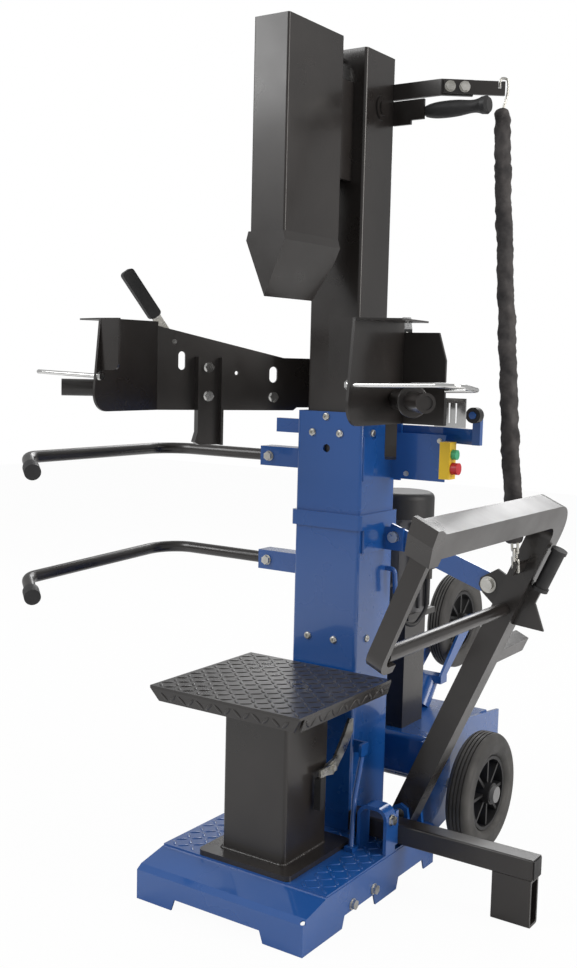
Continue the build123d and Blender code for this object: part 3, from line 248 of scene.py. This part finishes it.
def add_stage():
    """Pale floor, white surroundings and three soft boxes."""
    bpy.ops.mesh.primitive_plane_add(size=floor_size, location=(0, 0, -floor_drop))
    floor = bpy.context.active_object
    floor.name = "floor"
    floor_paint = new_material("floor_white", (0.80, 0.80, 0.80), 0.9)
    camera_white(floor_paint, (1, 1, 1), floor_white_share)
    floor.data.materials.append(floor_paint)
    world = bpy.data.worlds.new("world")
    bpy.context.scene.world = world
    world.use_nodes = True
    tree = world.node_tree
    background = tree.nodes["Background"]
    background.inputs["Color"].default_value = (1, 1, 1, 1)
    background.inputs["Strength"].default_value = surroundings_strength
    path = tree.nodes.new("ShaderNodeLightPath")
    white = tree.nodes.new("ShaderNodeBackground")
    white.inputs["Color"].default_value = (1, 1, 1, 1)
    mix = tree.nodes.new("ShaderNodeMixShader")
    tree.links.new(path.outputs["Is Camera Ray"], mix.inputs["Fac"])
    tree.links.new(background.outputs["Background"], mix.inputs[1])
    tree.links.new(white.outputs["Background"], mix.inputs[2])
    tree.links.new(mix.outputs["Shader"], tree.nodes["World Output"].inputs["Surface"])
    for lamp in lamps:
        area_light(*lamp)


add_camera()
add_stage()


# --- tread plate, weld and sleeve --------------------------------------------
stud_pitch = 0.0205          # between neighbouring studs, which lie crosswise to each other
stud_half_length = 0.0120
stud_half_width = 0.0034
stud_sides = 12
stud_rings = ((1.0, -0.0003), (0.86, 0.0007), (0.6, 0.0012), (0.3, 0.0014))     # scale and height


def mesh_piece(name, vertices, faces, body, slot):
    """New visible piece that rides on a body and takes its finish from a slot."""
    mesh = bpy.data.meshes.new(name)
    mesh.from_pydata(vertices, [], faces)
    mesh.update()
    for face in mesh.polygons:
        face.use_smooth = True
    piece = bpy.data.objects.new(name, mesh)
    bpy.context.scene.collection.objects.link(piece)
    mesh.materials.append(materials[slot])
    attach(piece, body)
    return piece


def join_rings(faces, first, rings, sides):
    """Faces between neighbouring rings of vertices, and one at either end."""
    for ring in range(rings - 1):
        low = first + ring * sides
        for step in range(sides):
            after = (step + 1) % sides
            faces.append((low + step, low + after, low + sides + after, low + sides + step))
    top = first + (rings - 1) * sides
    faces.append(tuple(top + step for step in range(sides)))
    faces.append(tuple(first + step for step in reversed(range(sides))))


def add_stud(vertices, faces, centre, along, across, up):
    """Lens-shaped stud of tread plate with its long axis along one direction."""
    first = len(vertices)
    for scale, height in stud_rings:
        for step in range(stud_sides):
            turn = 2 * math.pi * step / stud_sides
            vertices.append(centre + along * (stud_half_length * scale * math.cos(turn))
                            + across * (stud_half_width * scale * math.sin(turn)) + up * height)
    join_rings(faces, first, len(stud_rings), stud_sides)


def tread(name, origin, right, back, width, depth, body, slot, keep=None):
    """Crosswise studs over a flat field from its front-left corner."""
    vertices, faces = [], []
    up = right.cross(back)
    columns, rows = int(width / stud_pitch), int(depth / stud_pitch)
    for column in range(columns):
        for row in range(rows):
            centre = (origin + right * ((column + 0.5) * width / columns)
                      + back * ((row + 0.5) * depth / rows))
            if keep and not keep(centre):
                continue
            along = (right + back if (column + row) % 2 else right - back).normalized()
            add_stud(vertices, faces, centre, along, up.cross(along), up)
    return mesh_piece(name, vertices, faces, body, slot)


tread_inset = 0.004             # between a plate's edge and its studs
fold_lean, fold_depth = 0.007, 0.024        # of the table's folded edges, inwards and down
fold_start, fold_end_gap = 0.005, 0.020     # below the table's top, and from either corner
fold_tread_depth = 0.022
clear_margin = 0.013            # between the deck's studs and what stands on the deck


def add_treads():
    """Studs on the table, its folded edges and the deck."""
    low, high = (Vector(corner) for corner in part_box("table"))
    x_axis, y_axis = Vector((1, 0, 0)), Vector((0, 1, 0))
    inset = tread_inset
    tread("table_tread", Vector((low.x + inset, low.y + inset, high.z)), x_axis, y_axis,
          high.x - low.x - 2 * inset, high.y - low.y - 2 * inset, "stand", "black_paint")
    lean = Vector((0, fold_lean, -fold_depth)).normalized()
    corner = Vector((low.x + fold_end_gap, low.y, high.z - fold_start))
    tread("front_fold_tread", corner + lean * fold_depth, x_axis, -lean,
          high.x - low.x - 2 * fold_end_gap, fold_tread_depth, "stand", "black_paint")
    lean = Vector((-fold_lean, 0, -fold_depth)).normalized()
    corner = Vector((high.x, low.y + fold_end_gap, high.z - fold_start))
    tread("side_fold_tread", corner + lean * fold_depth, y_axis, -lean,
          high.y - low.y - 2 * fold_end_gap, fold_tread_depth, "stand", "black_paint")
    deck_low, deck_high = (Vector(corner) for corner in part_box("deck_plate"))
    foot_low, foot_high = (Vector(corner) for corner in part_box("pedestal"))
    column_low, column_high = (Vector(corner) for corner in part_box("column"))

    def clear(point):
        """Whether a stud here stays off the stand's foot and the column."""
        for lower, upper in ((foot_low, foot_high), (column_low, column_high)):
            if (lower.x - clear_margin < point.x < upper.x + clear_margin
                    and lower.y - clear_margin < point.y < upper.y + clear_margin):
                return False
        return True

    tread("deck_tread", Vector((deck_low.x + inset, deck_low.y + inset, deck_high.z)), x_axis, y_axis,
          deck_high.x - deck_low.x - 2 * inset, deck_high.y - deck_low.y - 2 * inset, "machine",
          "blue_paint", clear)


add_treads()

# The chain inside its gathered fabric sleeve, from the hook down to the lifter's eye.
sleeve_route = ((0.2631, 0.0767, 1.500), (0.3006, 0.0247, 1.268), (0.3459, -0.0326, 1.004),
                (0.3857, -0.0803, 0.7795), (0.4011, -0.0965, 0.6994))
sleeve_radius = 0.0170
sleeve_sides = 40
sleeve_step = 0.0022
sleeve_widest = 1.12            # times the radius
sleeve_end_share = 0.012        # of the length, over which either end draws in


def route_points(name, route):
    """Points along the smooth line that the route controls."""
    data = bpy.data.curves.new(name, "CURVE")
    data.dimensions = "3D"
    spline = data.splines.new("NURBS")
    spline.points.add(len(route) - 1)
    for point, place in zip(spline.points, route):
        point.co = (*place, 1)
    spline.order_u = 3
    spline.use_endpoint_u = True
    spline.resolution_u = 24
    holder = bpy.data.objects.new(name, data)
    bpy.context.scene.collection.objects.link(holder)
    line = bpy.data.meshes.new_from_object(holder)
    points = [vertex.co.copy() for vertex in line.vertices]
    bpy.data.objects.remove(holder)
    bpy.data.meshes.remove(line)
    return points


def evenly(points, step):
    """Places at even steps along a line of points."""
    lengths = [0.0]
    for before, after in zip(points, points[1:]):
        lengths.append(lengths[-1] + (after - before).length)
    count = max(2, int(lengths[-1] / step))
    places, section = [], 0
    for index in range(count + 1):
        wanted = lengths[-1] * index / count
        while section < len(points) - 2 and lengths[section + 1] < wanted:
            section += 1
        span = lengths[section + 1] - lengths[section]
        share = (wanted - lengths[section]) / span if span else 0.0
        places.append(points[section].lerp(points[section + 1], min(1.0, share)))
    return places, lengths[-1]


def sleeve_reach(share, turn, along):
    """Radius of the sleeve, which bulges and gathers unevenly and is fuller lower down."""
    ring = Vector((math.cos(turn) * 0.9, math.sin(turn) * 0.9, along * 62))
    slow = Vector((math.cos(turn) * 0.7, math.sin(turn) * 0.7, along * 24 + 7))
    fine = Vector((math.cos(turn) * 2.5, math.sin(turn) * 2.5, along * 170))
    reach = (0.88 + 0.09 * share + 0.17 * noise.noise(ring) + 0.13 * noise.noise(slow)
             + 0.05 * noise.noise(fine))
    ends = min(1.0, share / sleeve_end_share, (1 - share) / sleeve_end_share)
    return sleeve_radius * min(sleeve_widest, reach) * (0.6 + 0.4 * math.sqrt(max(0.0, ends)))


def add_sleeve():
    """Fabric sleeve that covers the chain from the hook to the eye."""
    line = route_points("sleeve_line", sleeve_route)
    places, length = evenly(line, sleeve_step)
    vertices, faces = [], []
    side = Vector((1, 0, 0))
    for index, place in enumerate(places):
        ahead = places[min(index + 1, len(places) - 1)] - places[max(index - 1, 0)]
        ahead.normalize()
        side = (side - ahead * side.dot(ahead)).normalized()
        other = ahead.cross(side)
        share = index / (len(places) - 1)
        for step in range(sleeve_sides):
            turn = 2 * math.pi * step / sleeve_sides
            reach = sleeve_reach(share, turn, share * length)
            vertices.append(place + (side * math.cos(turn) + other * math.sin(turn)) * reach)
    join_rings(faces, 0, len(places), sleeve_sides)
    sleeve = mesh_piece("gathered_sleeve", vertices, faces, "lifter", "sleeve_fabric")
    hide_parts("chain_sleeve")
    add_chain_ends()


def wires(name, runs, radius, body, slot):
    """Round wire along smooth runs of points; a run that ends where it starts is a closed loop."""
    data = bpy.data.curves.new(name, "CURVE")
    data.dimensions = "3D"
    data.bevel_depth = radius
    data.bevel_resolution = 4
    data.use_fill_caps = True
    for run in runs:
        closed = (Vector(run[0]) - Vector(run[-1])).length < 1e-6
        points = run[:-1] if closed else run
        spline = data.splines.new("NURBS")
        spline.points.add(len(points) - 1)
        for point, place in zip(spline.points, points):
            point.co = (*place, 1)
        spline.order_u = 3
        spline.use_cyclic_u = closed
        spline.use_endpoint_u = not closed
        spline.resolution_u = 8
    piece = bpy.data.objects.new(name, data)
    bpy.context.scene.collection.objects.link(piece)
    data.materials.append(materials[slot])
    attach(piece, body)
    return piece


def link_loop(low, high, side, half_width):
    """Oval chain link between two points, widened along one direction."""
    low, high, side = Vector(low), Vector(high), Vector(side) * half_width
    span = high - low
    places = [low, low + side, low + side + span * 0.25, high + side - span * 0.25, high + side, high,
              high - side, high - side - span * 0.25, low - side + span * 0.25, low - side, low]
    return [tuple(place) for place in places]


link_half_width = 0.0062
chain_wire_radius = 0.0024


def add_chain_ends():
    """Open hook in the hanger's end, and the chain links that leave the sleeve for the eye."""
    hook = [(0.2583, 0.0715, 1.541), (0.2583, 0.0715, 1.5565), (0.2640, 0.0758, 1.5590),
            (0.2712, 0.0812, 1.5560), (0.2712, 0.0812, 1.5300), (0.2665, 0.0790, 1.512),
            (0.2640, 0.0772, 1.500), (0.2655, 0.0735, 1.490)]
    eye = Vector((0.4025, -0.0905, 0.6521))
    run = Vector(sleeve_route[-1]) - eye
    side, other = Vector((0.913, 0.0, -0.408)), Vector((0.0, 1.0, 0.0))
    loops = [link_loop(eye + run * start, eye + run * end, direction, link_half_width)
             for start, end, direction in ((-0.08, 0.42, side), (0.30, 0.78, other), (0.66, 1.14, side))]
    chain = wires("chain_wire", [hook] + loops, chain_wire_radius, "lifter", "zinc")
    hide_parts("chain_links")
    return chain


add_sleeve()


weld_radius = 0.0042
weld_sides = 8
weld_step = 0.002
weld_half_width = 0.07125       # of the outline round the stand's foot
weld_centre = (0.0051, -0.2612)
weld_corner = 0.008
weld_lift = 0.010               # above the foot's underside


def add_weld(name, corners, radius, body, slot):
    """Rippled weld bead round a closed outline."""
    vertices, faces, places = [], [], []
    for index, corner in enumerate(corners):
        after = Vector(corners[(index + 1) % len(corners)])
        corner = Vector(corner)
        steps = max(2, int((after - corner).length / weld_step))
        places += [corner.lerp(after, step / steps) for step in range(steps)]
    count = len(places)
    for index, place in enumerate(places):
        ahead = (places[(index + 1) % count] - places[index - 1]).normalized()
        side = Vector((0, 0, 1)).cross(ahead)
        bead = radius * (1 + 0.16 * math.sin(2 * math.pi * index / 3) + 0.18 * noise.noise(place * 90))
        for step in range(weld_sides):
            turn = 2 * math.pi * step / weld_sides
            vertices.append(place + (side * math.cos(turn) + Vector((0, 0, math.sin(turn)))) * bead)
    for ring in range(count):
        low, high = ring * weld_sides, (ring + 1) % count * weld_sides
        for step in range(weld_sides):
            after = (step + 1) % weld_sides
            faces.append((low + step, low + after, high + after, high + step))
    return mesh_piece(name, vertices, faces, body, slot)


def rounded_outline(left, right, front, back, corner, height):
    """Points along a rounded rectangle at one height, five to a corner."""
    outline = []
    for middle_x, middle_y, start in ((right - corner, front + corner, -90),
                                      (right - corner, back - corner, 0),
                                      (left + corner, back - corner, 90),
                                      (left + corner, front + corner, 180)):
        for step in range(5):
            turn = math.radians(start + step * 22.5)
            outline.append((middle_x + corner * math.cos(turn),
                            middle_y + corner * math.sin(turn), height))
    return outline


foot_outline = rounded_outline(weld_centre[0] - weld_half_width, weld_centre[0] + weld_half_width,
                               weld_centre[1] - weld_half_width, weld_centre[1] + weld_half_width,
                               weld_corner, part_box("pedestal")[0][2] + weld_lift)
add_weld("foot_weld", foot_outline, weld_radius, "stand", "black_paint")

bpy.context.scene.view_settings.view_transform = "Standard"
